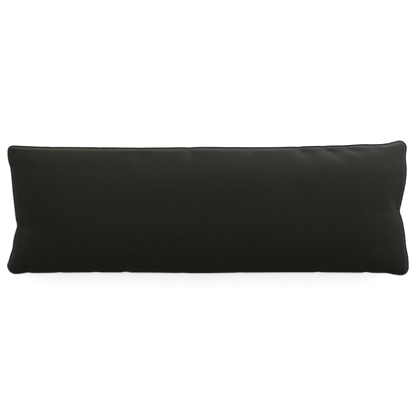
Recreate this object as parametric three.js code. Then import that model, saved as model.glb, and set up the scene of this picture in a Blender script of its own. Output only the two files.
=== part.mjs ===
// A long back cushion, lying on its back: one filled body of a front and a back panel, and the piping
// sewn into the seam all round it. The long sides bow in a little, the short sides are drawn in to a
// notch, and the four corners stand out as small round ears.
//
// Millimetres. X runs along the length, Y up the face as it is looked at, Z out of the face. The origin
// is under the middle of the cushion, on the surface that it lies on.

import * as THREE from "three";

// Size over the piping, the level of the seam while the cushion lies on its back, and the crown above it.
const LENGTH = 1200;
const HEIGHT = 405;
const SEAM_LEVEL = 56;
const FRONT_CROWN = 79;

// The crown rises over half the height from the long seams, and over this run from the short ones.
const END_RUN = 175;
// How much of the rise is a quarter circle: the rest is a parabola, which leaves the seam less steeply.
const ROUNDNESS = 0.3;
// The tight roll beside the seam: its share of the crown, and how far it reaches from the seam.
const ROLL_SHARE = 0.25;
const ROLL_RUN = 14;
// Half the length and height of the back panel's straight middle, which holds the flat patch that the
// cushion lies on, and the middle of its height.
const BACK_HALF_LENGTH = 578;
const BACK_HALF_HEIGHT = 187;
const BACK_MIDDLE = -4;

// The panels meet in a narrow edge, and the piping lies just outside it.
const EDGE_THICKNESS = 3;
const PIPING_DIAMETER = 5.4;
const SEWING_GAP = 0.3;

// Finish.
const FABRIC_COLOUR = 0x2d2d29;
const PIPING_COLOUR = 0x2b2b27;
const FABRIC_ROUGHNESS = 0.9;

// Cells of the panels, and how much they crowd towards the seams, from 0 to 1.
const CELLS_ALONG = 84;
const CELLS_ACROSS = 28;
const CROWDING = 0.56;
// Cells between the flat patch and the seams: at each end, and at each long side.
const CELLS_BESIDE_PATCH = { end: 14, longSide: 8 };
const PIPING_SIDES = 8;
const POINTS_PER_SIDE = 600;

// The ears: how far each stops short of the full length and height, the radius of its tip, and its level.
const EARS = {
  topLeft: { x: -1, y: 1, shortX: 1, shortY: 15.6, radius: 17, level: 46 },
  topRight: { x: 1, y: 1, shortX: 5, shortY: 0, radius: 23, level: 36 },
  bottomRight: { x: 1, y: -1, shortX: 0, shortY: 0, radius: 24, level: 43 },
  bottomLeft: { x: -1, y: -1, shortX: 0, shortY: 4, radius: 27, level: 46 },
};

// How each side runs between its two ears, a row for each bend of it. "at" is the place along the side
// from the middle of the cushion, to the right or upwards. "by" is how far the side is drawn in there
// from the straight line that joins the tips of the ears, and "lift" how far it rises from the seam level.
const SIDES = {
  bottom: {
    ears: ["bottomLeft", "bottomRight"],
    rows: [
      { at: -546, by: 2.6, lift: -6 },
      { at: -500, by: 3.6, lift: -2 },
      { at: -388, by: 5.6, lift: 1 },
      { at: -173, by: 5.9, lift: 0 },
      { at: -12, by: 4.8, lift: -1 },
      { at: 95, by: 6.8, lift: 0 },
      { at: 240, by: 8.2, lift: 1 },
      { at: 408, by: 8.3, lift: 1 },
      { at: 507, by: 7.2, lift: -3 },
      { at: 534, by: 6.6, lift: -6 },
      { at: 553, by: 2.6, lift: -9 },
    ],
  },
  top: {
    ears: ["topLeft", "topRight"],
    rows: [
      { at: -549, by: 2.0, lift: -6 },
      { at: -500, by: 4.6, lift: -2 },
      { at: -352, by: 8.4, lift: 1 },
      { at: -209, by: 11.6, lift: 1 },
      { at: -70, by: 12.2, lift: 0 },
      { at: -24, by: 12.0, lift: 0 },
      { at: 77, by: 13.9, lift: 0 },
      { at: 225, by: 15.4, lift: 1 },
      { at: 300, by: 14.0, lift: 2 },
      { at: 417, by: 12.2, lift: 1 },
      { at: 463, by: 10.4, lift: 0 },
      { at: 507, by: 10.6, lift: -4 },
      { at: 537, by: 7.9, lift: -9 },
      { at: 555, by: 3.4, lift: -14 },
    ],
  },
  left: {
    ears: ["bottomLeft", "topLeft"],
    rows: [
      { at: -161, by: 3.9, lift: -7 },
      { at: -143, by: 9.4, lift: -4 },
      { at: -119, by: 17.1, lift: 0 },
      { at: -96, by: 19.9, lift: 1 },
      { at: -72, by: 25.7, lift: 2 },
      { at: -54, by: 31.0, lift: 3 },
      { at: -36, by: 27.3, lift: 2 },
      { at: 0, by: 22.8, lift: 1 },
      { at: 48, by: 17.2, lift: 0 },
      { at: 95, by: 12.8, lift: 0 },
      { at: 119, by: 9.3, lift: -3 },
      { at: 143, by: 2.3, lift: -6 },
    ],
  },
  right: {
    ears: ["bottomRight", "topRight"],
    rows: [
      { at: -143, by: 2.5, lift: -7 },
      { at: -119, by: 7.4, lift: -3 },
      { at: -84, by: 11.0, lift: 1 },
      { at: -48, by: 16.3, lift: 2 },
      { at: -24, by: 22.1, lift: 3 },
      { at: -12, by: 26.4, lift: 4 },
      { at: 6, by: 22.5, lift: 3 },
      { at: 36, by: 15.4, lift: 2 },
      { at: 71, by: 7.6, lift: 0 },
      { at: 113, by: 2.7, lift: -6 },
      { at: 155, by: 3.4, lift: -15 },
    ],
  },
};

// The puckers, a row for each. Each starts at the seam at "at", runs "length" into the panel and leans
// "lean" to the right or upwards on the way. It is "depth" deep at the share "peak" of its length.
// "before" and "after" are the widths of its two flanks, and "tuck" is the nick that it leaves in the
// outline.
const PUCKERS = [
  { side: "top", at: -500, length: 54, lean: 8, peak: 0.2, before: 22, after: 12, depth: 3.6, tuck: 0.4 },
  { side: "top", at: -464, length: 50, lean: 6, peak: 0.2, before: 12, after: 12, depth: 1.8, tuck: 0.4 },
  { side: "top", at: -322, length: 54, lean: 4, peak: 0.2, before: 12, after: 12, depth: 3, tuck: 0.6 },
  { side: "top", at: -203, length: 92, lean: -18, peak: 0.2, before: 15, after: 24, depth: 8, tuck: 0.6 },
  { side: "top", at: -116, length: 28, lean: 4, peak: 0.2, before: 12, after: 10, depth: 3, tuck: 0.4 },
  { side: "top", at: -56, length: 44, lean: 6, peak: 0.2, before: 14, after: 9, depth: 10, tuck: 1.6 },
  { side: "top", at: 52, length: 30, lean: 4, peak: 0.2, before: 12, after: 10, depth: 4.5, tuck: 0.4 },
  { side: "top", at: 119, length: 34, lean: 6, peak: 0.2, before: 20, after: 18, depth: 6, tuck: 0.4 },
  { side: "top", at: 268, length: 60, lean: 46, peak: 0.2, before: 18, after: 30, depth: 14, tuck: 1.2 },
  { side: "top", at: 343, length: 64, lean: 78, peak: 0.2, before: 21, after: 32, depth: 14, tuck: 0.8 },
  { side: "top", at: 404, length: 48, lean: 84, peak: 0.2, before: 23, after: 32, depth: 10, tuck: 0.8 },
  { side: "top", at: 484, length: 40, lean: 50, peak: 0.2, before: 22, after: 26, depth: 6, tuck: 0.4 },
  { side: "bottom", at: -537, length: 48, lean: 10, peak: 0.25, before: 8, after: 8, depth: 3.4, tuck: 1.8 },
  { side: "bottom", at: -441, length: 46, lean: 6, peak: 0.25, before: 9, after: 9, depth: 3, tuck: 1.4 },
  { side: "bottom", at: -334, length: 40, lean: 4, peak: 0.25, before: 9, after: 9, depth: 2.6, tuck: 1.4 },
  { side: "bottom", at: -245, length: 52, lean: -8, peak: 0.25, before: 9, after: 9, depth: 3.6, tuck: 2.2 },
  { side: "bottom", at: -75, length: 40, lean: 4, peak: 0.25, before: 9, after: 9, depth: 2.4, tuck: 0.8 },
  { side: "bottom", at: 95, length: 38, lean: -4, peak: 0.25, before: 10, after: 10, depth: 2, tuck: 0.6 },
  { side: "bottom", at: 328, length: 46, lean: -8, peak: 0.25, before: 9, after: 9, depth: 3, tuck: 1.4 },
  { side: "bottom", at: 471, length: 54, lean: -14, peak: 0.25, before: 9, after: 9, depth: 3.8, tuck: 2.4 },
  { side: "left", at: -54, length: 100, lean: 12, peak: 0.25, before: 16, after: 14, depth: 6, tuck: 0 },
  { side: "right", at: -7, length: 56, lean: 56, peak: 0.3, before: 12, after: 70, depth: 9, tuck: 0 },
];
// The roundness of a pucker's crease, as a share of its flanks, and half the width of a nick.
const CREASE = 0.2;
const NICK_WIDTH = 9;
// The back panel is pulled less at the same places.
const BACK_PUCKER = 0.6;

// The place of a share s of the cells, from 0 to 1, with the cells crowded towards both ends.
function graded(s) {
  return (1 - CROWDING) * s + (CROWDING * (1 - Math.cos(Math.PI * s))) / 2;
}

// A side's own axis and the way that it faces.
function isLong(side) {
  return side === "top" || side === "bottom";
}

function facing(side) {
  return side === "top" || side === "right" ? 1 : -1;
}

// The centre of an ear's tip in the frame of a side: its place along the side and its reach outwards.
function earOn(side, name) {
  const ear = EARS[name];
  const centreX = ear.x * (LENGTH / 2 - ear.shortX - ear.radius);
  const centreY = ear.y * (HEIGHT / 2 - ear.shortY - ear.radius);
  const along = isLong(side) ? centreX : centreY;
  const reach = Math.abs(isLong(side) ? centreY : centreX);
  return { along, reach, radius: ear.radius, level: ear.level };
}

// The depth of the nicks that the puckers leave at a place on a side.
function tuckAt(side, along) {
  let total = 0;
  for (const pucker of PUCKERS) {
    if (pucker.side !== side || pucker.tuck === 0) continue;
    const share = (along - pucker.at) / NICK_WIDTH;
    total += pucker.tuck * Math.exp(-share * share);
  }
  return total;
}

// The outline of one side over the piping, from the middle of its first ear to the middle of its second.
function sideCurve(side) {
  const [start, end] = SIDES[side].ears.map((name) => earOn(side, name));
  const rows = [
    { at: start.along, by: 0, lift: start.level - SEAM_LEVEL },
    ...SIDES[side].rows,
    { at: end.along, by: 0, lift: end.level - SEAM_LEVEL },
  ];
  const bends = new THREE.CubicInterpolant(
    rows.map((row) => row.at),
    rows.flatMap((row) => [row.by, row.lift]),
    2,
  );
  bends.settings = { endingStart: THREE.ZeroSlopeEnding, endingEnd: THREE.ZeroSlopeEnding };

  const points = [];
  const place = (along, outwards, level) => {
    const across = outwards * facing(side);
    const x = isLong(side) ? along : across;
    const y = isLong(side) ? across : along;
    points.push(new THREE.Vector3(x, y, level));
  };
  const arcSteps = 12;
  for (let i = 0; i < arcSteps; i++) {
    const angle = (Math.PI / 4) * (1 + i / arcSteps);
    const along = start.along - start.radius * Math.cos(angle);
    place(along, start.reach + start.radius * Math.sin(angle), start.level);
  }
  for (let i = 0; i <= POINTS_PER_SIDE; i++) {
    const share = i / POINTS_PER_SIDE;
    const along = THREE.MathUtils.lerp(start.along, end.along, share);
    const tips = THREE.MathUtils.lerp(start.reach + start.radius, end.reach + end.radius, share);
    const [by, lift] = bends.evaluate(along);
    place(along, tips - by - tuckAt(side, along), SEAM_LEVEL + lift);
  }
  for (let i = arcSteps - 1; i >= 0; i--) {
    const angle = (Math.PI / 4) * (1 + i / arcSteps);
    const along = end.along + end.radius * Math.cos(angle);
    place(along, end.reach + end.radius * Math.sin(angle), end.level);
  }
  const curve = new THREE.CatmullRomCurve3(points);
  curve.arcLengthDivisions = 2 * POINTS_PER_SIDE;
  return curve;
}

// Stations on one side's outline, at the places of the cells.
function stationsOf(side) {
  const curve = sideCurve(side);
  const cells = isLong(side) ? CELLS_ALONG : CELLS_ACROSS;
  return Array.from({ length: cells + 1 }, (_, i) => curve.getPointAt(graded(i / cells)));
}

// All stations in one ring, anticlockwise as the face is looked at, each with its outward direction.
function outlineRing() {
  const bottom = stationsOf("bottom");
  const right = stationsOf("right");
  const top = stationsOf("top").reverse();
  const left = stationsOf("left").reverse();
  const ring = [bottom, right, top, left].flatMap((side) => side.slice(0, -1));
  return ring.map((point, i) => {
    const before = ring[(i + ring.length - 1) % ring.length];
    const after = ring[(i + 1) % ring.length];
    const forwards = new THREE.Vector2(after.x - before.x, after.y - before.y).normalize();
    return { point, outwards: new THREE.Vector3(forwards.y, -forwards.x, 0) };
  });
}

// The ring moved in from the outline by a distance, as plain points.
function insetRing(ring, inset) {
  return ring.map(({ point, outwards }) => point.clone().addScaledVector(outwards, -inset));
}

// The four sides of a ring again, each from its low end to its high end, with the corners in both.
function splitRing(points) {
  const corner = [0, CELLS_ALONG, CELLS_ALONG + CELLS_ACROSS, 2 * CELLS_ALONG + CELLS_ACROSS];
  const closed = [...points, points[0]];
  return {
    bottom: closed.slice(corner[0], corner[1] + 1),
    right: closed.slice(corner[1], corner[2] + 1),
    top: closed.slice(corner[2], corner[3] + 1).reverse(),
    left: closed.slice(corner[3]).reverse(),
  };
}

// The surface through the seam, spanned between the four sides, at cell i along and j across.
function seamSurface(sides, i, j) {
  const u = graded(i / CELLS_ALONG);
  const v = graded(j / CELLS_ACROSS);
  const point = new THREE.Vector3();
  point.addScaledVector(sides.bottom[i], 1 - v);
  point.addScaledVector(sides.top[i], v);
  point.addScaledVector(sides.left[j], 1 - u);
  point.addScaledVector(sides.right[j], u);
  point.addScaledVector(sides.bottom[0], -(1 - u) * (1 - v));
  point.addScaledVector(sides.bottom[CELLS_ALONG], -u * (1 - v));
  point.addScaledVector(sides.top[0], -(1 - u) * v);
  point.addScaledVector(sides.top[CELLS_ALONG], -u * v);
  return point;
}

// The rise from a seam to the full crown, as a share of it, at a distance from a seam.
function swell(distance, run) {
  const left = 1 - Math.min(1, distance / run);
  const parabola = 1 - left * left;
  return (1 - ROUNDNESS) * parabola + ROUNDNESS * Math.sqrt(parabola);
}

// The front panel's rise: a tight roll beside the seam, and the swell of the filling beyond it.
function rise(distance, run) {
  const left = 1 - Math.min(1, distance / ROLL_RUN);
  return ROLL_SHARE * Math.sqrt(1 - left * left) + (1 - ROLL_SHARE) * swell(distance, run);
}

// The crown's share at cell i along and j across: full in the middle, and low towards the seams and the ears.
function crownAt(i, j) {
  const u = graded(i / CELLS_ALONG);
  const v = graded(j / CELLS_ACROSS);
  const fromEnd = Math.min(u, 1 - u) * LENGTH;
  const fromLongSeam = Math.min(v, 1 - v) * HEIGHT;
  return rise(fromEnd, END_RUN) * rise(fromLongSeam, HEIGHT / 2);
}

// The share of the way down from the seam to the flat patch under the cushion. It is 1 on the patch.
function patchAt(i, j) {
  const fromEnd = graded(Math.min(i, CELLS_ALONG - i) / CELLS_ALONG);
  const fromLongSeam = graded(Math.min(j, CELLS_ACROSS - j) / CELLS_ACROSS);
  const endRun = graded(CELLS_BESIDE_PATCH.end / CELLS_ALONG);
  const longSideRun = graded(CELLS_BESIDE_PATCH.longSide / CELLS_ACROSS);
  return swell(fromEnd, endRun) * swell(fromLongSeam, longSideRun);
}

// The depth of all puckers at a point of the seam surface.
function puckersAt(sides, point, i, j) {
  const { bottom, top, left, right } = sides;
  const seamPoint = { bottom: bottom[i], top: top[i], left: left[j], right: right[j] };
  let total = 0;
  for (const pucker of PUCKERS) {
    const long = isLong(pucker.side);
    const seam = seamPoint[pucker.side];
    const inwards = Math.abs(long ? seam.y - point.y : seam.x - point.x);
    const share = inwards / pucker.length;
    if (share >= 1) continue;
    const along = long ? point.x : point.y;
    const across = along - pucker.at - pucker.lean * share;
    const flank = across < 0 ? pucker.before : pucker.after;
    const crease = Math.exp(CREASE - Math.hypot(across / flank, CREASE));
    const reach = share / pucker.peak;
    total += pucker.depth * reach * Math.exp(1 - reach) * (1 - share * share) * crease;
  }
  return total;
}

// A point of the front panel. The seam's own ups and downs fade out towards the full crown.
function frontPoint(sides, i, j) {
  const point = seamSurface(sides, i, j);
  const crown = crownAt(i, j);
  const pucker = crown > 0 ? puckersAt(sides, point, i, j) : 0;
  const half = EDGE_THICKNESS / 2;
  const level = THREE.MathUtils.lerp(point.z, SEAM_LEVEL, crown);
  point.z = level + half + (FRONT_CROWN - half) * crown - pucker;
  return point;
}

// A point of the back panel, which comes down to the surface and lies flat on it in a straight-sided patch.
function backPoint(sides, i, j) {
  const point = seamSurface(sides, i, j);
  const patch = patchAt(i, j);
  const pucker = patch > 0 ? BACK_PUCKER * puckersAt(sides, point, i, j) : 0;
  const half = EDGE_THICKNESS / 2;
  const level = THREE.MathUtils.lerp(point.z, SEAM_LEVEL, patch);
  const straightX = (2 * graded(i / CELLS_ALONG) - 1) * BACK_HALF_LENGTH;
  const straightY = (2 * graded(j / CELLS_ACROSS) - 1) * BACK_HALF_HEIGHT + BACK_MIDDLE;
  point.x = THREE.MathUtils.lerp(point.x, straightX, patch);
  point.y = THREE.MathUtils.lerp(point.y, straightY, patch);
  point.z = level - half - (SEAM_LEVEL - half) * patch + pucker;
  return point;
}

// The filled body: the two panels on one grid of cells, joined by the narrow edge at the seam.
function cushionGeometry(ring) {
  const sides = splitRing(insetRing(ring, PIPING_DIAMETER + SEWING_GAP));
  const positions = [];
  const rowLength = CELLS_ACROSS + 1;
  const panelSize = (CELLS_ALONG + 1) * rowLength;
  for (const front of [true, false]) {
    for (let i = 0; i <= CELLS_ALONG; i++) {
      for (let j = 0; j <= CELLS_ACROSS; j++) {
        const point = front ? frontPoint(sides, i, j) : backPoint(sides, i, j);
        positions.push(point.x, point.y, point.z);
      }
    }
  }

  const faces = [];
  const frontAt = (i, j) => i * rowLength + j;
  const backAt = (i, j) => panelSize + i * rowLength + j;
  const quad = (a, b, c, d, turned) => {
    if (turned) faces.push(a, b, d, b, c, d);
    else faces.push(a, b, c, a, c, d);
  };
  for (let i = 0; i < CELLS_ALONG; i++) {
    for (let j = 0; j < CELLS_ACROSS; j++) {
      // The cells are split towards the middle of the cushion, so that the four ears are alike.
      const turned = i < CELLS_ALONG / 2 === j < CELLS_ACROSS / 2;
      quad(frontAt(i, j), frontAt(i + 1, j), frontAt(i + 1, j + 1), frontAt(i, j + 1), turned);
      quad(backAt(i, j), backAt(i, j + 1), backAt(i + 1, j + 1), backAt(i + 1, j), turned);
    }
  }
  for (let i = 0; i < CELLS_ALONG; i++) {
    quad(backAt(i, 0), backAt(i + 1, 0), frontAt(i + 1, 0), frontAt(i, 0), false);
    const top = CELLS_ACROSS;
    quad(backAt(i + 1, top), backAt(i, top), frontAt(i, top), frontAt(i + 1, top), false);
  }
  for (let j = 0; j < CELLS_ACROSS; j++) {
    const end = CELLS_ALONG;
    quad(backAt(end, j), backAt(end, j + 1), frontAt(end, j + 1), frontAt(end, j), false);
    quad(backAt(0, j + 1), backAt(0, j), frontAt(0, j), frontAt(0, j + 1), false);
  }
  return meshGeometry(positions, faces);
}

// The piping: a round section carried once round the outline and joined to its own start.
function pipingGeometry(ring) {
  const radius = PIPING_DIAMETER / 2;
  const centres = insetRing(ring, radius);
  const positions = [];
  const faces = [];
  centres.forEach((centre, i) => {
    for (let k = 0; k < PIPING_SIDES; k++) {
      const angle = (2 * Math.PI * k) / PIPING_SIDES;
      const vertex = centre.clone().addScaledVector(ring[i].outwards, radius * Math.cos(angle));
      positions.push(vertex.x, vertex.y, vertex.z + radius * Math.sin(angle));
    }
  });
  for (let i = 0; i < centres.length; i++) {
    const here = i * PIPING_SIDES;
    const next = ((i + 1) % centres.length) * PIPING_SIDES;
    for (let k = 0; k < PIPING_SIDES; k++) {
      const side = (k + 1) % PIPING_SIDES;
      faces.push(here + k, next + k, next + side, here + k, next + side, here + side);
    }
  }
  return meshGeometry(positions, faces);
}

function meshGeometry(positions, faces) {
  const geometry = new THREE.BufferGeometry();
  geometry.setAttribute("position", new THREE.Float32BufferAttribute(positions, 3));
  geometry.setIndex(faces);
  geometry.computeVertexNormals();
  return geometry;
}

function fabric(colour) {
  return new THREE.MeshStandardMaterial({ color: colour, roughness: FABRIC_ROUGHNESS, metalness: 0 });
}

function namedMesh(name, geometry, material) {
  const mesh = new THREE.Mesh(geometry, material);
  mesh.name = name;
  return mesh;
}

const ring = outlineRing();
const backCushion = new THREE.Group();
backCushion.add(namedMesh("cushion", cushionGeometry(ring), fabric(FABRIC_COLOUR)));
backCushion.add(namedMesh("piping", pipingGeometry(ring), fabric(PIPING_COLOUR)));

export default backCushion;
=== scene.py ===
"""A long back cushion lying on its back: a filled cover of two panels with piping in the seam.

Metres, in the frame of the CAD model: X along the length, Y up the face, Z out of the face.
"""

from collections import namedtuple
import math

import bpy
import numpy as np
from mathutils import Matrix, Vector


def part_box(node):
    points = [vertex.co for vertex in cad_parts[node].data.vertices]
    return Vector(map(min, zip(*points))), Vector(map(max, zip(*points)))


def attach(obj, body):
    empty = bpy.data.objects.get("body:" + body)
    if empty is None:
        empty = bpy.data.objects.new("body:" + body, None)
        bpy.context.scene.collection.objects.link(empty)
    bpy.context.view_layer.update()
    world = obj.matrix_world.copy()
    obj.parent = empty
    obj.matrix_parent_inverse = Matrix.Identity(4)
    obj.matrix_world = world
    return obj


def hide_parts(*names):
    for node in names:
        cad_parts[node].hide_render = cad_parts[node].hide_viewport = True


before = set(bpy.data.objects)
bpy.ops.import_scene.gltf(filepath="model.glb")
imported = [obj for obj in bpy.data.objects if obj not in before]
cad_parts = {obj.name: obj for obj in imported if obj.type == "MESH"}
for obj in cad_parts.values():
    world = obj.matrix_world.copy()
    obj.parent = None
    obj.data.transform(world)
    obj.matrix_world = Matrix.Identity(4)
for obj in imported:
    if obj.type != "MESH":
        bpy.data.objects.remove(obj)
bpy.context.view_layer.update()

MM = 0.001

# The sizes that the frame gives, over the piping and above the seam, and the level of the seam.
PIPING_LOW, PIPING_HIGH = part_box("piping")
HALF_LENGTH = (PIPING_HIGH.x - PIPING_LOW.x) / 2
HALF_HEIGHT = (PIPING_HIGH.y - PIPING_LOW.y) / 2
SEAM_LEVEL = 56 * MM
FRONT_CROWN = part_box("cushion")[1].z - SEAM_LEVEL

# The rise from the seams, as in the CAD solid.
END_RUN = 175 * MM
ROUNDNESS = 0.3
ROLL_SHARE = 0.25
ROLL_RUN = 14 * MM
EDGE_THICKNESS = 3 * MM
PIPING_RADIUS = 2.7 * MM
SEWING_GAP = 0.3 * MM

# The flat patch that the cushion lies on: its distance from the seams as a share of the whole, the share of
# the way down to it that counts as on it, and the straight middle of the back panel that holds it.
PATCH_FROM_END = 0.1108
PATCH_FROM_LONG_SEAM = 0.2311
ON_PATCH = 0.999
BACK_HALF_LENGTH = 578 * MM
BACK_HALF_HEIGHT = 187 * MM
BACK_MIDDLE = -4 * MM

# Cells of each panel while it is filled, crowded towards the seams by a share from 0 to 1, and the steps of
# the piping's section, of a side's outline and of the half of an ear's tip at each end of it.
CELLS_ALONG = 168
CELLS_ACROSS = 58
CROWDING = 0.5
PIPING_SIDES = 14
POINTS_PER_SIDE = 2400
ARC_STEPS = 24

# The filling: the cover starts slack, at a share of its crown, and is blown up as cloth over some frames.
# Its panels were cut a little longer than they run along the seam. No point of it moves far, and the finest
# ripples of its moves are smoothed off over a few rounds.
SLACKNESS = 0.975
FULLNESS = 1.01
FILLING_FRAMES = 20
PRESSURE = 4
CLOTH_STEPS = 6
CLOTH_MASS = 0.3
CLOTH_STIFFNESS = 15
CLOTH_BENDING = 0.2
MOST_MOVE = 25 * MM
SOFTENING = 6

# The photograph's frame: its side in pixels, the real size of one of its pixels at the level of the ears,
# the height of its middle on the face, and the lens that takes it.
PHOTO_SIDE = 416
PHOTO_PIXEL = 1200 * MM / 402.3
EARS_LEVEL = 43 * MM
PHOTO_MIDDLE = -0.7 * MM
CAMERA = dict(lens=150, sensor_width=36, clip_start=0.05, clip_end=50)

# The ears, in millimetres: how far each stops short of the full length and height, the radius of its tip,
# and its level.
EARS = {
    "top_left": dict(x=-1, y=1, short_x=1, short_y=15.6, radius=17, level=46),
    "top_right": dict(x=1, y=1, short_x=5, short_y=0, radius=23, level=36),
    "bottom_right": dict(x=1, y=-1, short_x=0, short_y=0, radius=24, level=43),
    "bottom_left": dict(x=-1, y=-1, short_x=0, short_y=4, radius=27, level=46),
}

# How each side runs between its ears: at a place along it from the middle, how far it is drawn in from the
# line that joins the tips of the ears, and how far it lifts from the seam level. Millimetres.
SIDES = {
    "bottom": dict(ears=("bottom_left", "bottom_right"), rows=[
        dict(at=-546, by=2.6, lift=-6),
        dict(at=-500, by=3.6, lift=-2),
        dict(at=-388, by=5.6, lift=1),
        dict(at=-173, by=5.9, lift=0),
        dict(at=-12, by=4.8, lift=-1),
        dict(at=95, by=6.8, lift=0),
        dict(at=240, by=8.2, lift=1),
        dict(at=408, by=8.3, lift=1),
        dict(at=507, by=7.2, lift=-3),
        dict(at=534, by=6.6, lift=-6),
        dict(at=553, by=2.6, lift=-9),
    ]),
    "top": dict(ears=("top_left", "top_right"), rows=[
        dict(at=-549, by=2.0, lift=-6),
        dict(at=-500, by=4.6, lift=-2),
        dict(at=-352, by=8.4, lift=1),
        dict(at=-209, by=11.6, lift=1),
        dict(at=-70, by=12.2, lift=0),
        dict(at=-24, by=12.0, lift=0),
        dict(at=77, by=13.9, lift=0),
        dict(at=225, by=15.4, lift=1),
        dict(at=300, by=14.0, lift=2),
        dict(at=417, by=12.2, lift=1),
        dict(at=463, by=10.4, lift=0),
        dict(at=507, by=10.6, lift=-4),
        dict(at=537, by=7.9, lift=-9),
        dict(at=555, by=3.4, lift=-14),
    ]),
    "left": dict(ears=("bottom_left", "top_left"), rows=[
        dict(at=-161, by=3.9, lift=-7),
        dict(at=-143, by=9.4, lift=-4),
        dict(at=-119, by=17.1, lift=0),
        dict(at=-96, by=19.9, lift=1),
        dict(at=-72, by=25.7, lift=2),
        dict(at=-54, by=31.0, lift=3),
        dict(at=-36, by=27.3, lift=2),
        dict(at=0, by=22.8, lift=1),
        dict(at=48, by=17.2, lift=0),
        dict(at=95, by=12.8, lift=0),
        dict(at=119, by=9.3, lift=-3),
        dict(at=143, by=2.3, lift=-6),
    ]),
    "right": dict(ears=("bottom_right", "top_right"), rows=[
        dict(at=-143, by=2.5, lift=-7),
        dict(at=-119, by=7.4, lift=-3),
        dict(at=-84, by=11.0, lift=1),
        dict(at=-48, by=16.3, lift=2),
        dict(at=-24, by=22.1, lift=3),
        dict(at=-12, by=26.4, lift=4),
        dict(at=6, by=22.5, lift=3),
        dict(at=36, by=15.4, lift=2),
        dict(at=71, by=7.6, lift=0),
        dict(at=113, by=2.7, lift=-6),
        dict(at=155, by=3.4, lift=-15),
    ]),
}

# The puckers that the seam pulls into the panels, a row for each, in millimetres. "at" is the place along
# the side, "length" the reach into the panel, and "lean" how far the inner end lies further along. "depth" is
# how deep it gets, at the share "peak" of its length, "before" and "after" are the widths of its two flanks,
# and "tuck" is its nick in the outline.
PUCKERS = [
    dict(side="top", at=-500, length=54, lean=8, peak=0.2, before=22, after=12, depth=3.6, tuck=0.4),
    dict(side="top", at=-464, length=50, lean=6, peak=0.2, before=12, after=12, depth=1.8, tuck=0.4),
    dict(side="top", at=-322, length=54, lean=4, peak=0.2, before=12, after=12, depth=3, tuck=0.6),
    dict(side="top", at=-203, length=92, lean=-18, peak=0.2, before=15, after=24, depth=8, tuck=0.6),
    dict(side="top", at=-116, length=28, lean=4, peak=0.2, before=12, after=10, depth=3, tuck=0.4),
    dict(side="top", at=-56, length=44, lean=6, peak=0.2, before=14, after=9, depth=10, tuck=1.6),
    dict(side="top", at=52, length=30, lean=4, peak=0.2, before=12, after=10, depth=4.5, tuck=0.4),
    dict(side="top", at=119, length=34, lean=6, peak=0.2, before=20, after=18, depth=6, tuck=0.4),
    dict(side="top", at=268, length=60, lean=46, peak=0.2, before=18, after=30, depth=14, tuck=1.2),
    dict(side="top", at=343, length=64, lean=78, peak=0.2, before=21, after=32, depth=14, tuck=0.8),
    dict(side="top", at=404, length=48, lean=84, peak=0.2, before=23, after=32, depth=10, tuck=0.8),
    dict(side="top", at=484, length=40, lean=50, peak=0.2, before=22, after=26, depth=6, tuck=0.4),
    dict(side="bottom", at=-537, length=48, lean=10, peak=0.25, before=8, after=8, depth=3.4, tuck=1.8),
    dict(side="bottom", at=-441, length=46, lean=6, peak=0.25, before=9, after=9, depth=3, tuck=1.4),
    dict(side="bottom", at=-334, length=40, lean=4, peak=0.25, before=9, after=9, depth=2.6, tuck=1.4),
    dict(side="bottom", at=-245, length=52, lean=-8, peak=0.25, before=9, after=9, depth=3.6, tuck=2.2),
    dict(side="bottom", at=-75, length=40, lean=4, peak=0.25, before=9, after=9, depth=2.4, tuck=0.8),
    dict(side="bottom", at=95, length=38, lean=-4, peak=0.25, before=10, after=10, depth=2, tuck=0.6),
    dict(side="bottom", at=328, length=46, lean=-8, peak=0.25, before=9, after=9, depth=3, tuck=1.4),
    dict(side="bottom", at=471, length=54, lean=-14, peak=0.25, before=9, after=9, depth=3.8, tuck=2.4),
    dict(side="left", at=-54, length=100, lean=12, peak=0.25, before=16, after=14, depth=6, tuck=0),
    dict(side="right", at=-7, length=56, lean=56, peak=0.3, before=12, after=70, depth=9, tuck=0),
]
# The roundness of a pucker's crease as a share of its flanks, and half the width of a nick. The back panel
# is pulled less at the same places.
CREASE = 0.2
NICK_WIDTH = 9
BACK_PUCKER = 0.6

# The fine gathers beside the seam: their spacing, how far they stray as a share of it, the ranges that width,
# length and depth are picked from, how many widths they reach to each side, and the power that draws their
# deepest place towards the seam.
GATHER_SPACING = 17 * MM
GATHER_STRAY = 0.4
GATHER_WIDTH = (3.5 * MM, 7 * MM)
GATHER_LENGTH = (10 * MM, 30 * MM)
GATHER_DEPTH = (0, 0.8 * MM)
GATHER_REACH = 3
GATHER_BULGE = 0.6

# The soft lumps of the filling, which fade out towards the seams over a distance.
LUMPS = 90
LUMP_WIDTH = (28 * MM, 70 * MM)
LUMP_HEIGHT = 0.9 * MM
LUMP_CLEAR = 60 * MM

# The seeds of the lumps, and of the gathers of the two panels.
LUMPS_SEED = 5
FRONT_SEED = 11
BACK_SEED = 12

# How far the edges of the panels reach past the waist that the piping lies in.
LIP = 0.55 * MM

# The cloth: the pitch of its yarns, how fast the shades of the yarns, slubs and clouds change over it, how
# much the yarns sway, how softly they cross, and their relief.
YARN = 1.3 * MM
ALONG_WARP = (1 / YARN, 0.06 / YARN, 1)
ALONG_WEFT = (0.06 / YARN, 1 / YARN, 1)
SLUB_SCALE = (0.2 / YARN, 0.015 / YARN, 1)
CLOUD_SCALE = 9.0
SWAY_SCALE = 90.0
SWAY = 0.9
CROSSING = 0.25
RELIEF_STRENGTH = 0.55
RELIEF_DEPTH = 0.25 * YARN

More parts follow.
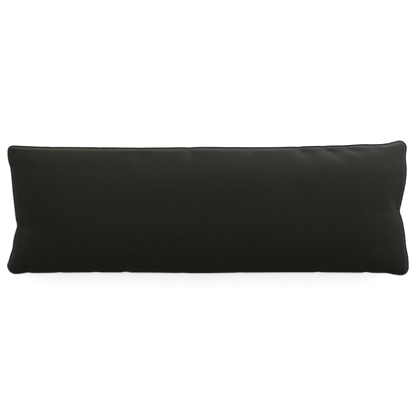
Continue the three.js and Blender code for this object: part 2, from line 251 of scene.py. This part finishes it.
# Its colours, how much darker and lighter each unevenness makes it, and its gloss and sheen.
COVER_COLOUR = (0.0205, 0.0210, 0.0165)
# Painted light: the piping is of the cover's own fabric, made lighter in colour to stand for the rim light
# that it catches.
PIPING_LIT_COLOUR = (0.0275, 0.028, 0.022)
YARN_SHADES = (0.45, 1.55)
# Painted shade and light: the relief makes the colour darker in the hollows between the yarns and lighter on
# their crowns.
RELIEF_PAINTED_SHADES = (0.72, 1.12)
CLOUD_SHADES = (0.9, 1.1)
SLUB_SHADES = (0.84, 1.16)
YARN_ROUGHNESS = (0.66, 0.56)
SPECULAR = 0.02
COVER_SHEEN = 0.1
PIPING_SHEEN = 0.2
SHEEN_TINT = (1, 1, 0.88, 1)
SHEEN_ROUGHNESS = 0.6

# The floor: half its side, its paint, and its glow, which stands for the light of a pale studio.
FLOOR_HALF = 8
FLOOR_COLOUR = (0.9, 0.9, 0.9, 1)
FLOOR_ROUGHNESS = 0.9
FLOOR_GLOW = 0.7

# The light of the sky from all round, what is added from the top of the picture, and the backdrop.
SKY_ALL_ROUND = 0.315
SKY_FROM_TOP = 0.912
BACKDROP = 1

# The soft boxes: their side, and a row for each, with angles in degrees and power in watts.
BOX_SIZE = 1.3
SOFT_BOXES = [
    dict(name="low_key", azimuth=60, elevation=6, distance=1.6, power=12.6, colour=(1, 1.02, 1.08)),
    dict(name="side_key", azimuth=30, elevation=12, distance=2.6, power=22.8, colour=(1, 1, 1.07)),
    dict(name="top_key", azimuth=100, elevation=6, distance=2.6, power=13.8, colour=(1, 1.03, 0.6)),
]

# The low strips that light the rim: their height, and a row for each, with its middle at "at".
STRIP_HEIGHT = 0.02
STRIPS = [
    dict(name="strip_all", azimuth=90, at=(0, 0.245, 0.003), length=1.3, power=0.68, colour=(1, 1.03, 1.08)),
    dict(name="strip_right", azimuth=90, at=(0.54, 0.5, 0.03), length=0.6, power=0.95, colour=(1, 1, 1.5)),
    dict(name="strip_left", azimuth=180, at=(-0.74, -0.05, 0.03), length=0.36, power=0.12, colour=(1, 1, 1)),
]


def graded(share):
    """Places from 0 to 1, crowded towards both ends."""
    return (1 - CROWDING) * share + CROWDING * (1 - np.cos(np.pi * share)) / 2


def is_long(side):
    return side in ("top", "bottom")


def facing(side):
    return 1 if side in ("top", "right") else -1


# The tip of an ear in the frame of a side, with its centre's place along the side and reach outwards.
Tip = namedtuple("Tip", "along reach radius level")


def tip_on(side, name):
    """The tip of a named ear, in metres."""
    ear = EARS[name]
    centre_x = HALF_LENGTH - (ear["short_x"] + ear["radius"]) * MM
    centre_y = HALF_HEIGHT - (ear["short_y"] + ear["radius"]) * MM
    along = ear["x"] * centre_x if is_long(side) else ear["y"] * centre_y
    reach = centre_y if is_long(side) else centre_x
    return Tip(along, reach, ear["radius"] * MM, ear["level"] * MM)


def smooth_curve(places, values, at):
    """The cubic curve through a few values, level at both ends."""
    slopes = np.zeros(len(places))
    steps = np.diff(places)
    rises = np.diff(values) / steps
    slopes[1:-1] = (rises[:-1] * steps[1:] + rises[1:] * steps[:-1]) / (steps[1:] + steps[:-1])
    k = np.clip(np.searchsorted(places, at) - 1, 0, len(steps) - 1)
    t = (at - places[k]) / steps[k]
    start = values[k] * (2 * t**3 - 3 * t**2 + 1) + slopes[k] * steps[k] * (t**3 - 2 * t**2 + t)
    end = values[k + 1] * (3 * t**2 - 2 * t**3) + slopes[k + 1] * steps[k] * (t**3 - t**2)
    return start + end


def tucks_at(side, along):
    """The depth of the nicks that the puckers leave along a side."""
    total = np.zeros_like(along)
    for pucker in PUCKERS:
        if pucker["side"] == side:
            share = (along / MM - pucker["at"]) / NICK_WIDTH
            total += pucker["tuck"] * MM * np.exp(-share**2)
    return total


def side_line(side):
    """One side's outline over the piping, from the middle of its first ear to the middle of its second."""
    first, second = (tip_on(side, name) for name in SIDES[side]["ears"])
    rows = SIDES[side]["rows"]
    places = np.array([first.along, *(row["at"] * MM for row in rows), second.along])
    draw_in = np.array([0, *(row["by"] * MM for row in rows), 0])
    levels = np.array([first.level, *(SEAM_LEVEL + row["lift"] * MM for row in rows), second.level])
    along = np.linspace(first.along, second.along, POINTS_PER_SIDE)
    tips = np.linspace(first.reach + first.radius, second.reach + second.radius, POINTS_PER_SIDE)
    outwards = tips - smooth_curve(places, draw_in, along) - tucks_at(side, along)
    level = smooth_curve(places, levels, along)

    rising = np.linspace(np.pi / 4, np.pi / 2, ARC_STEPS, endpoint=False)
    falling = rising[::-1]
    along = np.concatenate([
        first.along - first.radius * np.cos(rising),
        along,
        second.along + second.radius * np.cos(falling),
    ])
    outwards = np.concatenate([
        first.reach + first.radius * np.sin(rising),
        outwards,
        second.reach + second.radius * np.sin(falling),
    ]) * facing(side)
    level = np.concatenate([np.full(ARC_STEPS, first.level), level, np.full(ARC_STEPS, second.level)])
    pair = (along, outwards) if is_long(side) else (outwards, along)
    return np.stack([*pair, level], axis=1)


def by_length(line, shares):
    """The points of a line at shares of its length."""
    lengths = np.concatenate([[0], np.cumsum(np.linalg.norm(np.diff(line, axis=0), axis=1))])
    return np.stack([np.interp(shares * lengths[-1], lengths, line[:, k]) for k in range(3)], axis=1)


def outwards_of(ring):
    """The level directions out of a closed ring that runs anticlockwise."""
    forwards = np.roll(ring, -1, axis=0) - np.roll(ring, 1, axis=0)
    outwards = np.stack([forwards[:, 1], -forwards[:, 0], np.zeros(len(ring))], axis=1)
    return outwards / np.linalg.norm(outwards, axis=1, keepdims=True)


def outline_ring():
    """The outline at the stations of the cells, anticlockwise, and the level directions out of it."""
    cells = {side: CELLS_ALONG if is_long(side) else CELLS_ACROSS for side in SIDES}
    at = {side: graded(np.linspace(0, 1, cells[side] + 1)) for side in SIDES}
    lines = {side: by_length(side_line(side), at[side]) for side in SIDES}
    ring = np.concatenate([
        lines["bottom"][:-1],
        lines["right"][:-1],
        lines["top"][:0:-1],
        lines["left"][:0:-1],
    ])
    return ring, outwards_of(ring)


def split_ring(ring):
    """The four sides of a ring, each from its low end to its high end."""
    closed = np.concatenate([ring, ring[:1]])
    one, two, three = CELLS_ALONG, CELLS_ALONG + CELLS_ACROSS, 2 * CELLS_ALONG + CELLS_ACROSS
    return {
        "bottom": closed[: one + 1],
        "right": closed[one : two + 1],
        "top": closed[two : three + 1][::-1],
        "left": closed[three:][::-1],
    }


def cell_shares():
    """How far along and across each row of a panel's points lies, from 0 to 1."""
    u = graded(np.linspace(0, 1, CELLS_ALONG + 1))[:, None]
    v = graded(np.linspace(0, 1, CELLS_ACROSS + 1))[None]
    return u, v


def seam_surface(sides):
    """The surface spanned through the seam, a grid of points along by across."""
    u, v = (share[..., None] for share in cell_shares())
    bottom, top = sides["bottom"][:, None], sides["top"][:, None]
    left, right = sides["left"][None], sides["right"][None]
    rows = bottom * (1 - v) + top * v + left * (1 - u) + right * u
    low_corners = bottom[:1] * (1 - u) + bottom[-1:] * u
    high_corners = top[:1] * (1 - u) + top[-1:] * u
    return rows - (low_corners * (1 - v) + high_corners * v)


def swell(distance, run):
    """The rise from a seam to the full crown, as a share of it, at a distance from the seam."""
    left = 1 - np.minimum(1, distance / run)
    parabola = 1 - left**2
    return (1 - ROUNDNESS) * parabola + ROUNDNESS * np.sqrt(parabola)


def rise(distance, run, rolled):
    """The front panel's rise: a tight roll beside the seam, and the swell of the filling beyond it."""
    left = 1 - np.minimum(1, distance / ROLL_RUN)
    return rolled * np.sqrt(1 - left**2) + (1 - rolled) * swell(distance, run)


def crown_grid(rolled):
    """The crown's share over the grid: full in the middle, and low towards the seams and the ears."""
    u, v = cell_shares()
    from_end = np.minimum(u, 1 - u) * 2 * HALF_LENGTH
    from_long_seam = np.minimum(v, 1 - v) * 2 * HALF_HEIGHT
    return rise(from_end, END_RUN, rolled) * rise(from_long_seam, HALF_HEIGHT, rolled)


def patch_grid():
    """The share of the way down from the seam to the flat patch under the cushion."""
    u, v = cell_shares()
    return swell(np.minimum(u, 1 - u), PATCH_FROM_END) * swell(np.minimum(v, 1 - v), PATCH_FROM_LONG_SEAM)


def mesh_object(name, points, faces):
    """An object of a mesh with smooth faces, in the scene."""
    mesh = bpy.data.meshes.new(name)
    mesh.from_pydata([tuple(p) for p in points], [], faces)
    mesh.validate()
    mesh.polygons.foreach_set("use_smooth", [True] * len(mesh.polygons))
    piece = bpy.data.objects.new(name, mesh)
    bpy.context.scene.collection.objects.link(piece)
    return piece


def grid_faces(cells_along, cells_across, first, turned):
    """The four-sided faces of a grid whose points start at a number."""
    row = cells_across + 1
    i = np.arange(cells_along)[:, None]
    j = np.arange(cells_across)[None]
    a = (first + i * row + j).ravel()
    corners = [a, a + row, a + row + 1, a + 1]
    return np.stack(corners[::-1] if turned else corners, axis=1)


def rim_numbers(cells_along, cells_across):
    """The numbers of a grid's rim points, anticlockwise from its low corner."""
    row = cells_across + 1
    i = np.arange(cells_along)
    j = np.arange(cells_across)
    last = cells_along * row
    return np.concatenate([i * row, last + j, last + cells_across - i * row, cells_across - j])


def panels(sides, rolled, fullness):
    """The front and the back panel at a fullness, and the share of the flat patch on the back."""
    grid = seam_surface(sides)
    crown = fullness * crown_grid(rolled)
    patch = patch_grid()
    half = EDGE_THICKNESS / 2

    front = grid.copy()
    level = grid[..., 2] * (1 - crown) + SEAM_LEVEL * crown
    front[..., 2] = level + half + (FRONT_CROWN - half) * crown

    back = grid.copy()
    u, v = cell_shares()
    back[..., 0] += ((2 * u - 1) * BACK_HALF_LENGTH - back[..., 0]) * patch
    back[..., 1] += ((2 * v - 1) * BACK_HALF_HEIGHT + BACK_MIDDLE - back[..., 1]) * patch
    level = grid[..., 2] * (1 - patch) + SEAM_LEVEL * patch
    back[..., 2] = np.maximum(0, level - half - (SEAM_LEVEL - half) * patch)
    return front, back, patch


def flat_cut(panel, fullness):
    """The panel as it was cut, flat: its own lengths along and across, and longer along the seams."""
    along = np.linalg.norm(np.diff(panel, axis=0), axis=2)
    across = np.linalg.norm(np.diff(panel, axis=1), axis=2)
    x = np.concatenate([np.zeros((1, panel.shape[1])), np.cumsum(along, axis=0)])
    y = np.concatenate([np.zeros((panel.shape[0], 1)), np.cumsum(across, axis=1)], axis=1)
    longest = x[-1].max() * fullness
    x = (x / x[-1:] - 0.5) * longest
    y = y - y[:, -1:] / 2
    return np.stack([x, y, np.zeros_like(x)], axis=2)


def softened(grid):
    """A grid of moves with its finest ripples taken off, and its rim left as it is."""
    grid = grid.copy()
    for _ in range(SOFTENING):
        grid[1:-1] = (grid[:-2] + 2 * grid[1:-1] + grid[2:]) / 4
        grid[:, 1:-1] = (grid[:, :-2] + 2 * grid[:, 1:-1] + grid[:, 2:]) / 4
    return grid


def filled(piece, cut, held):
    """Blows the slack cover up while some points are held, and gives the moves of both panels."""
    start = np.array([tuple(v.co) for v in piece.data.vertices])
    piece.shape_key_add(name="start")
    key = piece.shape_key_add(name="cut")
    key.data.foreach_set("co", cut.ravel())
    group = piece.vertex_groups.new(name="held")
    group.add([int(number) for number in np.nonzero(held.ravel())[0]], 1, "REPLACE")
    cloth = piece.modifiers.new("filling", "CLOTH")
    settings = cloth.settings
    settings.rest_shape_key = key
    settings.vertex_group_mass = group.name
    settings.effector_weights.gravity = 0
    settings.use_pressure = True
    settings.uniform_pressure_force = PRESSURE
    settings.quality = CLOTH_STEPS
    settings.mass = CLOTH_MASS
    settings.tension_stiffness = CLOTH_STIFFNESS
    settings.compression_stiffness = CLOTH_STIFFNESS
    settings.bending_stiffness = CLOTH_BENDING
    cloth.point_cache.frame_start = 1
    cloth.point_cache.frame_end = FILLING_FRAMES
    for number in range(1, FILLING_FRAMES + 1):
        bpy.context.scene.frame_set(number)
    posed = piece.evaluated_get(bpy.context.evaluated_depsgraph_get())
    points = np.empty(start.size)
    posed.data.vertices.foreach_get("co", points)
    moved = points.reshape(-1, 3) - start
    bpy.data.objects.remove(piece)
    bpy.context.scene.frame_set(1)
    moved = np.stack([softened(panel) for panel in moved.reshape(*held.shape, 3)])
    moved[held > 0] = 0
    far = np.linalg.norm(moved, axis=-1, keepdims=True)
    return moved * np.minimum(1, MOST_MOVE / np.maximum(far, MM))


def cover_faces(cells_along, cells_across, waisted):
    """The faces of both panels and of the edge between them. The points of its waist, if any, come last."""
    count = (cells_along + 1) * (cells_across + 1)
    front = rim_numbers(cells_along, cells_across)
    back = count + front
    rings = [front, 2 * count + np.arange(len(front)), back] if waisted else [front, back]
    bands = [
        np.stack([low, np.roll(low, -1), np.roll(high, -1), high], axis=1)
        for high, low in zip(rings, rings[1:])
    ]
    return np.concatenate([
        grid_faces(cells_along, cells_across, 0, False),
        grid_faces(cells_along, cells_across, count, True),
        *bands,
    ]).tolist()


def finer(grid, axis):
    """Halves the cells of a grid along one axis, on the cubic through the four nearest points."""
    grid = np.moveaxis(grid, axis, 0)
    low = 2 * grid[:1] - grid[1:2]
    high = 2 * grid[-1:] - grid[-2:-1]
    wide = np.concatenate([low, grid, high])
    middle = (9 * (wide[1:-2] + wide[2:-1]) - wide[:-3] - wide[3:]) / 16
    full = np.empty((2 * len(grid) - 1, *grid.shape[1:]))
    full[::2] = grid
    full[1::2] = middle
    return np.moveaxis(full, 0, axis)


def beside(panel):
    """For each side, each point's distance inwards from the seam, and its place along the side."""
    x, y = panel[..., 0], panel[..., 1]
    return {
        "bottom": (y - y[:, :1], x),
        "top": (y[:, -1:] - y, x),
        "left": (x - x[:1], y),
        "right": (x[-1:] - x, y),
    }


def puckers(panel):
    """The depth of all puckers over a panel."""
    near = beside(panel)
    total = np.zeros(panel.shape[:2])
    for pucker in PUCKERS:
        inwards, along = near[pucker["side"]]
        share = np.clip(inwards / (pucker["length"] * MM), 0, 1)
        across = along - (pucker["at"] + pucker["lean"] * share) * MM
        across /= np.where(across < 0, pucker["before"], pucker["after"]) * MM
        crease = np.exp(CREASE - np.hypot(across, CREASE))
        reach = share / pucker["peak"]
        total += pucker["depth"] * MM * reach * np.exp(1 - reach) * (1 - share**2) * crease
    return total


def gathers(panel, seed):
    """The fine uneven gathers that the sewing leaves beside the seam, as a depth over a panel."""
    picks = np.random.default_rng(seed)
    total = np.zeros(panel.shape[:2])
    for side, (inwards, along) in beside(panel).items():
        half = HALF_LENGTH if is_long(side) else HALF_HEIGHT
        for place in np.arange(-half, half, GATHER_SPACING):
            middle = place + picks.uniform(-GATHER_STRAY, GATHER_STRAY) * GATHER_SPACING
            width, length = picks.uniform(*GATHER_WIDTH), picks.uniform(*GATHER_LENGTH)
            depth = picks.uniform(*GATHER_DEPTH)
            near = np.abs(along - middle) < GATHER_REACH * width
            share = np.clip(inwards[near] / length, 0, 1)
            ripple = np.exp(-0.5 * ((along[near] - middle) / width) ** 2)
            total[near] += depth * np.sin(np.pi * share**GATHER_BULGE) * ripple
    return total


def lumps(panel, seed):
    """The soft unevenness of the filling under a panel, as a height over it."""
    picks = np.random.default_rng(seed)
    total = np.zeros(panel.shape[:2])
    for _ in range(LUMPS):
        x, y = picks.uniform(-HALF_LENGTH, HALF_LENGTH), picks.uniform(-HALF_HEIGHT, HALF_HEIGHT)
        width = picks.uniform(*LUMP_WIDTH)
        apart = ((panel[..., 0] - x) ** 2 + (panel[..., 1] - y) ** 2) / width**2
        total += picks.normal(0, LUMP_HEIGHT) * np.exp(-0.5 * apart)
    nearest = np.min([inwards for inwards, _ in beside(panel).values()], axis=0)
    return total * np.clip(nearest / LUMP_CLEAR, 0, 1) ** 2


def cloth_map(piece, places):
    """Gives each point its place on the flat cloth, in metres, where the weave is drawn."""
    layer = piece.data.uv_layers.new(name="cloth")
    corners = np.empty(len(piece.data.loops), dtype=int)
    piece.data.loops.foreach_get("vertex_index", corners)
    layer.data.foreach_set("uv", places[corners].ravel())


def filled_panels(sides):
    """Both panels as the filling shapes them. The cover is blown up without its roll, and gets it after."""
    *slack, patch = panels(sides, 0, SLACKNESS)
    points = np.concatenate([panel.reshape(-1, 3) for panel in slack])
    piece = mesh_object("slack_cover", points, cover_faces(CELLS_ALONG, CELLS_ACROSS, False))
    cut = np.concatenate([flat_cut(panel, FULLNESS).reshape(-1, 3) for panel in slack])
    cut[len(cut) // 2 :, 2] = -EDGE_THICKNESS
    held = np.zeros((2, *patch.shape))
    held[:, [0, -1]] = held[:, :, [0, -1]] = 1
    held[1] = np.maximum(held[1], patch > ON_PATCH)
    moves = filled(piece, cut, held)
    front, back, _ = panels(sides, ROLL_SHARE, SLACKNESS)
    return front + moves[0], back + moves[1]


def cover_piece():
    """The filled cover: two panels on one grid, joined at the seam by the narrow edge behind the piping."""
    ring, outwards = outline_ring()
    inset = 2 * PIPING_RADIUS + SEWING_GAP
    sides = split_ring(ring - outwards * inset)
    front, back = filled_panels(sides)
    front, back = (finer(finer(panel, 0), 1) for panel in (front, back))
    front[..., 2] += lumps(front, LUMPS_SEED) - gathers(front, FRONT_SEED) - puckers(front)
    back[..., 2] = np.maximum(back[..., 2] + gathers(back, BACK_SEED) + BACK_PUCKER * puckers(back), 0)
    places = [flat_cut(panel, 1).reshape(-1, 3)[:, :2] for panel in (front, back)]
    front, back = front.reshape(-1, 3), back.reshape(-1, 3)
    rim = rim_numbers(2 * CELLS_ALONG, 2 * CELLS_ACROSS)
    waist = (front[rim] + back[rim]) / 2
    lip = LIP * outwards_of(waist)
    front[rim] += lip
    back[rim] += lip
    faces = cover_faces(2 * CELLS_ALONG, 2 * CELLS_ACROSS, True)
    piece = mesh_object("cushion_cover", np.concatenate([front, back, waist]), faces)
    cloth_map(piece, np.concatenate([*places, places[0][rim]]))
    return piece


def piping_piece():
    """The piping: a round section carried once round the outline."""
    ring, outwards = outline_ring()
    centres = ring - outwards * PIPING_RADIUS
    angle = np.linspace(0, 2 * np.pi, PIPING_SIDES, endpoint=False)
    up = np.array([0, 0, 1])
    around = outwards[:, None] * np.cos(angle)[None, :, None] + up * np.sin(angle)[None, :, None]
    points = (centres[:, None] + PIPING_RADIUS * around).reshape(-1, 3)
    i = np.arange(len(ring))[:, None]
    k = np.arange(PIPING_SIDES)[None]
    here, ahead = i * PIPING_SIDES, (i + 1) % len(ring) * PIPING_SIDES
    turn = (k + 1) % PIPING_SIDES
    faces = np.stack([here + k, ahead + k, ahead + turn, here + turn], axis=-1).reshape(-1, 4)
    piece = mesh_object("piping_cord", points, faces.tolist())
    steps = np.linalg.norm(np.roll(centres, -1, axis=0) - centres, axis=1)
    run = np.concatenate([[0], np.cumsum(steps)])
    girth = 2 * np.pi * PIPING_RADIUS
    layer = piece.data.uv_layers.new(name="cloth")
    cells = [(0, 0), (1, 0), (1, 1), (0, 1)]
    along = np.stack([run[i + ahead] + np.zeros(k.shape) for ahead, _ in cells], axis=-1)
    over = np.stack([(k + beyond) / PIPING_SIDES * girth + np.zeros(i.shape) for _, beyond in cells], axis=-1)
    layer.data.foreach_set("uv", np.stack([along, over], axis=-1).ravel())
    return piece


class Nodes:
    """Short ways to build the nodes of a material or a world, which ends in a shader of a given name."""

    def __init__(self, owner, shader):
        owner.use_nodes = True
        self.tree = owner.node_tree
        self.shader = self.tree.nodes[shader]

    def add(self, kind, inputs=(), **settings):
        node = self.tree.nodes.new(kind)
        for name, value in settings.items():
            setattr(node, name, value)
        for socket, value in dict(inputs).items():
            self.put(node.inputs[socket], value)
        return node

    def put(self, socket, value):
        if isinstance(value, bpy.types.NodeSocket):
            self.tree.links.new(value, socket)
        else:
            socket.default_value = value

    def finish(self, inputs):
        for socket, value in inputs.items():
            self.put(self.shader.inputs[socket], value)

    def math(self, operation, *values):
        node = self.add("ShaderNodeMath", operation=operation)
        for socket, value in zip(node.inputs, values):
            self.put(socket, value)
        return node.outputs[0]

    def noise(self, vector, scale, detail=2.0, roughness=0.5):
        inputs = {"Vector": vector, "Scale": scale, "Detail": detail, "Roughness": roughness}
        return self.add("ShaderNodeTexNoise", inputs).outputs["Fac"]

    def mapped(self, vector, scale=(1, 1, 1), turn=0):
        inputs = {"Vector": vector, "Rotation": (0, 0, turn), "Scale": scale}
        return self.add("ShaderNodeMapping", inputs).outputs["Vector"]

    def between(self, value, low, high, first=0.0, last=1.0):
        inputs = {"Value": value, "From Min": first, "From Max": last, "To Min": low, "To Max": high}
        return self.add("ShaderNodeMapRange", inputs).outputs["Result"]

    def mix(self, share, low, high):
        return self.add("ShaderNodeMix", {"Factor": share, "A": low, "B": high}).outputs["Result"]


def woven(name, colour, sheen, turn):
    """A tight plain weave of slightly uneven yarns: their relief, mottled shades, painted shade between them
    and a soft sheen.
    """
    material = bpy.data.materials.new(name)
    nodes = Nodes(material, "Principled BSDF")
    place = nodes.mapped(nodes.add("ShaderNodeUVMap", uv_map="cloth").outputs["UV"], turn=turn)
    split = nodes.add("ShaderNodeSeparateXYZ", {"Vector": place}).outputs

    # The yarns arch over and under each other, and none runs quite straight.
    sway = nodes.math("MULTIPLY", nodes.math("SUBTRACT", nodes.noise(place, SWAY_SCALE), 0.5), SWAY)
    across = nodes.math("ADD", nodes.math("MULTIPLY", split["X"], math.pi / YARN), sway)
    upwards = nodes.math("ADD", nodes.math("MULTIPLY", split["Y"], math.pi / YARN), sway)
    sine_x, sine_y = nodes.math("SINE", across), nodes.math("SINE", upwards)
    warp_over = nodes.between(nodes.math("MULTIPLY", sine_x, sine_y), 0.0, 1.0, -CROSSING, CROSSING)
    relief = nodes.mix(warp_over, nodes.math("ABSOLUTE", sine_y), nodes.math("ABSOLUTE", sine_x))

    # Each yarn has its own shade, and thicker ones and soft clouds run through the cloth.
    warp_shade = nodes.noise(nodes.mapped(place, ALONG_WARP), 1.0, 3.0)
    weft_shade = nodes.noise(nodes.mapped(place, ALONG_WEFT), 1.0, 3.0)
    yarn = nodes.mix(warp_over, weft_shade, warp_shade)
    cloud = nodes.noise(nodes.add("ShaderNodeTexCoord").outputs["Object"], CLOUD_SCALE, 3.0, 0.55)
    slub = nodes.noise(nodes.mapped(place, SLUB_SCALE), 1.0)
    # The relief's shades are painted shade in the hollows between the yarns and painted light on their
    # crowns.
    shade = nodes.math("MULTIPLY", nodes.between(yarn, *YARN_SHADES), nodes.between(relief, *RELIEF_PAINTED_SHADES))
    shade = nodes.math("MULTIPLY", shade, nodes.between(cloud, *CLOUD_SHADES))
    shade = nodes.math("MULTIPLY", shade, nodes.between(slub, *SLUB_SHADES))
    tint = nodes.add("ShaderNodeVectorMath", {0: colour, "Scale": shade}, operation="SCALE")

    bump_inputs = {"Strength": RELIEF_STRENGTH, "Distance": RELIEF_DEPTH, "Height": relief}
    nodes.finish({
        "Base Color": tint.outputs["Vector"],
        "Roughness": nodes.between(yarn, *YARN_ROUGHNESS),
        "Normal": nodes.add("ShaderNodeBump", bump_inputs).outputs["Normal"],
        "Specular IOR Level": SPECULAR,
        "Sheen Weight": sheen,
        "Sheen Tint": SHEEN_TINT,
        "Sheen Roughness": SHEEN_ROUGHNESS,
    })
    return material


def floor():
    """A plain pale floor, which throws no light back on the cushion."""
    corners = [(x * FLOOR_HALF, y * FLOOR_HALF, 0) for x, y in ((-1, -1), (1, -1), (1, 1), (-1, 1))]
    surface = mesh_object("floor", corners, [(0, 1, 2, 3)])
    surface.visible_diffuse = False
    surface.visible_glossy = False
    material = bpy.data.materials.new("floor_paint")
    Nodes(material, "Principled BSDF").finish({
        "Base Color": FLOOR_COLOUR,
        "Roughness": FLOOR_ROUGHNESS,
        "Specular IOR Level": 0.0,
        "Emission Color": (1, 1, 1, 1),
        "Emission Strength": FLOOR_GLOW,
    })
    surface.data.materials.append(material)


def sky():
    """Soft light from above, stronger from the top of the picture, on a pale backdrop."""
    world = bpy.data.worlds.new("studio")
    bpy.context.scene.world = world
    nodes = Nodes(world, "Background")
    direction = nodes.add("ShaderNodeTexCoord").outputs["Generated"]
    split = nodes.add("ShaderNodeSeparateXYZ", {"Vector": direction}).outputs
    seen = nodes.add("ShaderNodeLightPath").outputs["Is Camera Ray"]

    from_top = nodes.math("MULTIPLY", nodes.math("MAXIMUM", split["Y"], 0), SKY_FROM_TOP)
    light = nodes.math("ADD", from_top, SKY_ALL_ROUND)
    light = nodes.math("MULTIPLY", light, nodes.math("GREATER_THAN", split["Z"], 0))
    light = nodes.math("MULTIPLY", light, nodes.math("SUBTRACT", 1, seen))
    backdrop = nodes.math("MULTIPLY", seen, BACKDROP)
    nodes.finish({"Color": (1, 1, 1, 1), "Strength": nodes.math("ADD", light, backdrop)})


def soft_box(name, azimuth, elevation, distance, power, colour):
    """A square soft box that looks at the cushion. Azimuth is from +X towards +Y, both in degrees."""
    data = bpy.data.lights.new(name, "AREA")
    data.shape = "SQUARE"
    data.size = BOX_SIZE
    data.energy = power
    data.color = colour
    light = bpy.data.objects.new(name, data)
    bpy.context.scene.collection.objects.link(light)
    a, e = math.radians(azimuth), math.radians(elevation)
    place = np.array([math.cos(a) * math.cos(e), math.sin(a) * math.cos(e), math.sin(e)])
    light.location = place * distance
    light.rotation_euler = (0, math.pi / 2 - e, a)
    return light


def rim_strip(name, azimuth, at, length, power, colour):
    """A low strip light beside the cushion, near the floor, which lights the rim that faces it."""
    light = soft_box(name, azimuth, 0, 1, power, colour)
    light.data.shape = "RECTANGLE"
    light.data.size = STRIP_HEIGHT
    light.data.size_y = length
    light.location = at
    light.visible_camera = False


def camera():
    """Straight above the face, at the distance where the photograph's frame spans its real width."""
    data = bpy.data.cameras.new("camera")
    for setting, value in CAMERA.items():
        setattr(data, setting, value)
    eye = bpy.data.objects.new("camera", data)
    bpy.context.scene.collection.objects.link(eye)
    distance = PHOTO_SIDE * PHOTO_PIXEL * data.lens / data.sensor_width
    eye.location = (0, PHOTO_MIDDLE, EARS_LEVEL + distance)
    bpy.context.scene.camera = eye


camera()
floor()
sky()
for box in SOFT_BOXES:
    soft_box(**box)
for strip in STRIPS:
    rim_strip(**strip)
cover = cover_piece()
piping = piping_piece()
cover.data.materials.append(woven("cover_fabric", COVER_COLOUR, COVER_SHEEN, 0))
# The piping's lighter colour is painted light on the cover's own fabric.
piping.data.materials.append(woven("piping_fabric", PIPING_LIT_COLOUR, PIPING_SHEEN, math.pi / 4))
for piece, node, slot in ((cover, "cushion", "cover_fabric"), (piping, "piping", "piping_fabric")):
    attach(piece, "root")
    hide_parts(node)
bpy.context.scene.view_settings.view_transform = "Standard"
